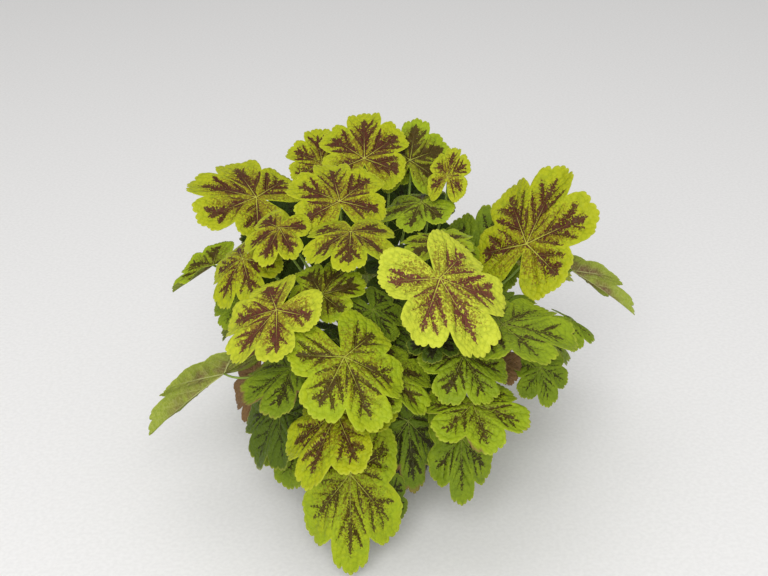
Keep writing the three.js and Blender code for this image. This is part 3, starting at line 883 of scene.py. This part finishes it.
def add_stalk(mesher, leaf, outwards, rng):
    """A tapering, grooved stalk that ends sunk in the blade's middle."""
    path, share, span = stalk_path(leaf, outwards)
    tangent = np.gradient(path, axis=0)
    tangent /= np.linalg.norm(tangent, axis=1)[:, None]
    normal = np.cross(tangent[0], ASKEW)
    normals = []
    for direction in tangent:
        normal = normal - direction * normal.dot(direction)
        normal = normal / np.linalg.norm(normal)
        normals.append(normal)
    normals = np.array(normals)
    binormals = np.cross(tangent, normals)
    radius = STALK_RADIUS * (1 - STALK_TAPER * share) + STALK_FLARE * np.exp(-share * STALK_FLARE_FALL)
    radius = radius * (1 + STALK_UNEVENNESS * np.sin(share * STALK_SWELLINGS + rng.uniform(0, 6)))
    turn = np.arange(STALK_SIDES) * 2 * pi / STALK_SIDES
    groove = 1 - STALK_GROOVE * np.exp(-((turn - pi / 2) / STALK_GROOVE_WIDTH) ** 2)
    ring = (normals[:, None] * (np.cos(turn) * groove)[None, :, None]
            + binormals[:, None] * (np.sin(turn) * groove)[None, :, None])
    points = path[:, None] + ring * radius[:, None, None]
    count = STALK_SIDES
    begin = mesher.add_points(np.concatenate([points.reshape(-1, 3), path[:1], path[-1:]]),
                              np.concatenate([np.repeat(share, count), [0.0, 1.0]]))
    here = np.arange(count)
    after = (here + 1) % count
    run = share * span

    def spots(columns, step):
        """Place on the unrolled stalk, in metres."""
        round_place = columns * 2 * pi * STALK_RADIUS / count
        return np.stack([round_place, np.broadcast_to(run[step], count)], -1) * MM

    for k in range(STALK_STEPS):
        low = begin + k * count
        high = low + count
        faces = np.stack([low + here, low + after, high + after, high + here], 1)
        places = [spots(here, k), spots(here + 1, k), spots(here + 1, k + 1), spots(here, k + 1)]
        places = np.stack(places, 1)
        mesher.add_faces(faces, STALK, places, np.zeros_like(places))
    top_ring = begin + STALK_STEPS * count
    foot = top_ring + count
    blank = np.zeros((count, 3, 2))
    for cap in ([np.full(count, foot), begin + after, begin + here],
                [np.full(count, foot + 1), top_ring + here, top_ring + after]):
        mesher.add_faces(np.stack(cap, 1), STALK, blank, blank)


def make_leaves():
    """Each leaf as one piece, named after its node, whose part from the model it hides."""
    materials = [blade_top_material(), blade_under_material(), stalk_material()]
    for number, (leaf, outwards) in enumerate(zip(LEAVES, stalk_directions())):
        node = f"leaf_{number + 1:02d}"
        rng = np.random.default_rng(SEED + number)
        mesher = Mesher()
        add_blade(mesher, leaf, number, rng)
        add_stalk(mesher, leaf, outwards, rng)
        # painted light and tone go on each mesh: lit leaves painted lighter, shaded ones darker
        numbers = dict(painted_light_and_tone=leaf.painted_light_and_tone, mark=leaf.mark, dry=leaf.dry, seed=SEED_STEP * number)
        piece = mesher.build("heuchera_" + node, materials, numbers)
        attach(piece, "root")
        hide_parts(node)


make_leaves()


# ---- turned pieces ----
POT_SIDES = 160
POT_ROUNDING = 0.8
HOLE_SIDES = 32
SOIL_SIDES = 220
SOIL_RINGS = 46
CLOD_HEIGHT = 0.9
CRUMB_HEIGHT = 1.4
CROWN_SIDES = 144
CROWN_RINGS = 44
SCALE_HEIGHT = 1.6
SETTLING = 0.9

POT_BLACK = srgb(34, 35, 37)
POT_DUST = srgb(78, 74, 68)
POT_SPLASHES = srgb(96, 84, 70)
SOIL_DARK = srgb(38, 27, 20)
SOIL_BROWN = srgb(74, 54, 38)
SOIL_FIBRE = srgb(112, 84, 58)
PERLITE = srgb(206, 202, 190)
BARK_DARK = srgb(62, 42, 28)
BARK_PALE = srgb(128, 96, 64)
BARK_RED = srgb(96, 62, 50)


def lathe(name, profile, sides, shape=None):
    """A closed mesh turned about Z from a profile that starts and ends on the axis.
    shape, where given, moves the points, which come as an array of millimetres."""
    radii, heights = np.array(profile[1:-1], float).T
    turn = np.arange(sides) * 2 * pi / sides
    points = np.stack([
        radii[:, None] * np.cos(turn), radii[:, None] * np.sin(turn),
        np.broadcast_to(heights[:, None], (len(radii), sides))], -1).reshape(-1, 3)
    points = np.concatenate([points, [[0, 0, profile[0][1]], [0, 0, profile[-1][1]]]])
    if shape is not None:
        points = shape(points)
    pairs = [(a, (a + 1) % sides) for a in range(sides)]
    first, last = len(points) - 2, len(points) - 1
    faces = [(first, b, a) for a, b in pairs]
    for k in range(len(radii) - 1):
        low, high = k * sides, (k + 1) * sides
        faces += [(low + a, low + b, high + b, high + a) for a, b in pairs]
    low = (len(radii) - 1) * sides
    faces += [(last, low + a, low + b) for a, b in pairs]
    mesh = bpy.data.meshes.new(name)
    mesh.from_pydata((points * MM).tolist(), [], faces)
    fill(mesh.polygons, "use_smooth", np.ones(len(faces)), bool)
    mesh.validate()
    return put_in_scene(name, mesh)


def draw_to(profile, end, steps):
    """Draws a profile on from its last point to this end, in even steps."""
    start = profile[-1]
    for k in range(1, steps + 1):
        profile.append(tuple(a + (b - a) * k / steps for a, b in zip(start, end)))


def rounded(profile, size, steps=4):
    """The profile with its corners rounded off by arcs of about this size."""
    points = [np.array(p, float) for p in profile]
    result = [points[0]]
    for before, corner, after in zip(points, points[1:], points[2:]):
        towards = before - corner
        away = after - corner
        reach = min(size, 0.45 * np.linalg.norm(towards), 0.45 * np.linalg.norm(away))
        start = corner + towards / np.linalg.norm(towards) * reach
        end = corner + away / np.linalg.norm(away) * reach
        for k in range(steps + 1):
            t = k / steps
            result.append((1 - t) ** 2 * start + 2 * t * (1 - t) * corner + t ** 2 * end)
    result.append(points[-1])
    return [tuple(p) for p in result]


def pot_material():
    g = Graph("pot_plastic")
    spot = g.position()
    _, _, height = g.parts(spot)
    fine = g.noise(spot, scale=900.0, detail=3.0)
    dust = g.noise(spot, scale=45.0, detail=4.0, roughness=0.65)
    colour = g.mix(g.ramp(dust, 0.35, 0.75, end=0.5), POT_BLACK, POT_DUST)
    splashed = g.ramp(height, 0.0, 0.03, start=0.5, end=0.0)
    colour = g.mix(g.times(splashed, dust), colour, POT_SPLASHES)
    g.bump(g.add(fine, g.times(dust, 0.5)), strength=0.25, distance=0.0003)
    return g.finish(colour, g.ramp(dust, *NOISE_MIDDLE, 0.42, 0.62), specular=0.4)


def drill(pot, x, y):
    """Cuts a drain hole through the pot's floor."""
    reach = 4
    profile = [(0, -reach), (DRAIN_RADIUS, -reach), (DRAIN_RADIUS, reach), (0, reach)]
    cutter = lathe("cutter", profile, HOLE_SIDES)
    cutter.location = (x * MM, y * MM, 0)
    bpy.context.view_layer.update()
    cut = pot.modifiers.new("drain", "BOOLEAN")
    cut.operation = "DIFFERENCE"
    cut.solver = "EXACT"
    cut.object = cutter
    bpy.context.view_layer.objects.active = pot
    bpy.ops.object.modifier_apply(modifier=cut.name)
    bpy.data.objects.remove(cutter)


def make_pot():
    under_rim = POT_RADIUS - RIM_STEP
    profile = rounded([
        (0, 0),
        (POT_BASE_RADIUS, 0),
        (under_rim, WALL_TOP),
        (POT_RADIUS, WALL_TOP),
        (POT_RADIUS, POT_HEIGHT),
        (POT_RADIUS - POT_WALL, POT_HEIGHT),
        (under_rim - POT_WALL, WALL_TOP),
        (POT_BASE_RADIUS - POT_WALL, POT_WALL),
        (0, POT_WALL),
    ], POT_ROUNDING)
    pot = lathe("nursery_pot", profile, POT_SIDES)
    for hole in range(DRAIN_HOLES):
        angle = hole * 2 * pi / DRAIN_HOLES
        drill(pot, DRAIN_CIRCLE * cos(angle), DRAIN_CIRCLE * sin(angle))
    pot.data.materials.append(pot_material())
    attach(pot, "root")
    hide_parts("pot")


make_pot()


def lumps(points, scale, seed):
    """Smooth pseudo-random heights, -1 to 1, at the points: a sum of turned sine waves."""
    rng = np.random.default_rng(seed)
    total = np.zeros(len(points))
    weight = 0.0
    for octave in range(5):
        size = 2.0 ** octave
        for _ in range(3):
            direction = rng.normal(size=3)
            direction /= np.linalg.norm(direction)
            phase = rng.uniform(0, 2 * pi)
            total += np.sin(points @ direction * size * scale + phase) / size ** 0.7
            weight += 0.5 / size ** 0.7
    return np.clip(total / weight, -1, 1)


def inside_radius(height):
    """The inside radius of the pot's wall at a height."""
    share = (height - POT_WALL) / (WALL_TOP - POT_WALL)
    low = POT_BASE_RADIUS - POT_WALL
    return low + (POT_RADIUS - RIM_STEP - POT_WALL - low) * share


def soil_material():
    g = Graph("soil_crumbs")
    spot = g.position()
    grain = g.noise(spot, scale=500.0, detail=5.0, roughness=0.7)
    clods = g.noise(spot, scale=120.0, detail=4.0, roughness=0.6)
    cells = g.cells(spot, scale=330.0)
    colour = g.mix(g.ramp(clods, *NOISE_MIDDLE), SOIL_DARK, SOIL_BROWN)
    colour = g.mix(g.times(g.ramp(grain, 0.5, 0.75), 0.6), colour, SOIL_FIBRE)
    colour = g.mix(g.ramp(g.parts(cells["Color"])[0], 0.965, 0.975), colour, PERLITE)
    crumbs = g.ramp(cells["Distance"], 0.0, 0.6, start=1.0, end=0.0)
    g.bump(g.add(grain, crumbs), strength=0.9, distance=0.0012)
    return g.finish(colour, roughness=0.95, specular=0.2)


def make_soil():
    bottom = POT_WALL + FIT
    edge = SOIL_LEVEL - SOIL_CROWNING
    floor_radius = inside_radius(bottom) - FIT
    top_radius = inside_radius(edge) - FIT
    socket = CROWN_RADIUS + FIT
    socket_floor = SOIL_LEVEL - SOCKET_DEPTH
    profile = [(0, bottom)]
    draw_to(profile, (floor_radius, bottom), 6)
    draw_to(profile, (top_radius, edge), 16)
    for k in range(1, SOIL_RINGS + 1):
        share = k / SOIL_RINGS
        radius = top_radius + (socket - top_radius) * share
        profile.append((radius, edge + SOIL_CROWNING * sin(share * pi / 2)))
    draw_to(profile, (socket, socket_floor), 5)
    draw_to(profile, (0, socket_floor), 4)

    def crumbled(points):
        """Clods and crumbs on the open top, which stays smooth by the pot and crown."""
        radius = np.hypot(points[:, 0], points[:, 1])
        open_top = (radius > socket + 0.5) & (radius < top_radius - 1.0) & (points[:, 2] > edge - 0.01)
        height = lumps(points, scale=0.45, seed=5) * CLOD_HEIGHT
        height += np.abs(lumps(points, scale=1.1, seed=6)) * CRUMB_HEIGHT - SETTLING
        points[:, 2] += height * open_top
        return points

    soil = lathe("potting_soil", profile, SOIL_SIDES, crumbled)
    soil.data.materials.append(soil_material())
    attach(soil, "root")
    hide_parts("soil")


make_soil()


def crown_material():
    g = Graph("crown_bark")
    spot = g.position()
    stretched = g.moved(spot, (300.0, 300.0, 90.0), "MULTIPLY")
    fibre = g.noise(stretched, scale=1.0, detail=5.0, roughness=0.65)
    scales = g.noise(spot, scale=160.0, detail=3.0)
    colour = g.mix(g.ramp(fibre, *NOISE_MIDDLE), BARK_DARK, BARK_PALE)
    colour = g.mix(g.ramp(scales, 0.5, 0.7, end=0.6), colour, BARK_RED)
    g.bump(g.add(fibre, scales), strength=0.8, distance=0.001)
    return g.finish(colour, roughness=0.9, specular=0.25)


def make_crown():
    low = SOIL_LEVEL - SOCKET_DEPTH + FIT
    profile = [(0, low)]
    draw_to(profile, (CROWN_RADIUS, low), 5)
    draw_to(profile, (CROWN_RADIUS, SOIL_LEVEL), 8)
    for k in range(1, CROWN_RINGS):
        climb = k * pi / (2 * CROWN_RINGS)
        profile.append((CROWN_RADIUS * cos(climb), SOIL_LEVEL + CROWN_RADIUS * sin(climb)))
    profile.append((0, SOIL_LEVEL + CROWN_RADIUS))

    def knobbly(points):
        """Bark scales, longer upwards, on the dome above the soil."""
        out = points - np.array([0, 0, SOIL_LEVEL])
        size = np.linalg.norm(out, axis=1, keepdims=True)
        above = points[:, 2:] > SOIL_LEVEL + 0.5
        scales = np.abs(lumps(points * [1, 1, 0.5], scale=0.5, seed=8)) * SCALE_HEIGHT - SETTLING
        scales = scales + lumps(points, scale=1.6, seed=9) * 0.25
        return points + out / size * scales[:, None] * above

    crown = lathe("crown_stock", profile, CROWN_SIDES, knobbly)
    crown.data.materials.append(crown_material())
    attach(crown, "root")
    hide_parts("crown")


make_crown()


# ---- floor and light ----
PLANT_MIDDLE = (0.0, 0.0, 0.15)
FLOOR_HALF = 6.0
FLOOR_DARKER = srgb(238, 237, 236)
FLOOR_PALER = srgb(244, 243, 242)
SKY_STRENGTH = 0.52


def make_floor():
    mesh = bpy.data.meshes.new("floor")
    half = FLOOR_HALF
    corners = [(-half, -half, 0), (half, -half, 0), (half, half, 0), (-half, half, 0)]
    mesh.from_pydata(corners, [], [(0, 1, 2, 3)])
    floor = put_in_scene("floor", mesh)
    g = Graph("floor_paper")
    grain = g.noise(g.position(), scale=260.0, detail=3.0)
    colour = g.mix(g.ramp(grain, *NOISE_MIDDLE), FLOOR_DARKER, FLOOR_PALER)
    floor.data.materials.append(g.finish(colour, roughness=0.9, specular=0.1))


def area_light(name, at, size, power):
    """A square soft box that faces the plant's middle."""
    data = bpy.data.lights.new(name, "AREA")
    data.shape = "SQUARE"
    data.size = size
    data.energy = power
    light = put_in_scene(name, data)
    light.location = at
    light.rotation_euler = (Vector(at) - Vector(PLANT_MIDDLE)).to_track_quat("Z", "Y").to_euler()


def make_light():
    world = bpy.data.worlds.new("world")
    world.use_nodes = True
    background = world.node_tree.nodes["Background"]
    background.inputs["Color"].default_value = (1.0, 1.0, 1.0, 1.0)
    background.inputs["Strength"].default_value = SKY_STRENGTH
    bpy.context.scene.world = world
    area_light("front", at=(-0.25, -2.4, 2.0), size=1.7, power=61.0)
    area_light("overhead", at=(-0.2, 0.1, 2.4), size=1.6, power=8.0)
    view = bpy.context.scene.view_settings
    view.view_transform = "Standard"
    view.look = "None"


make_floor()
make_light()
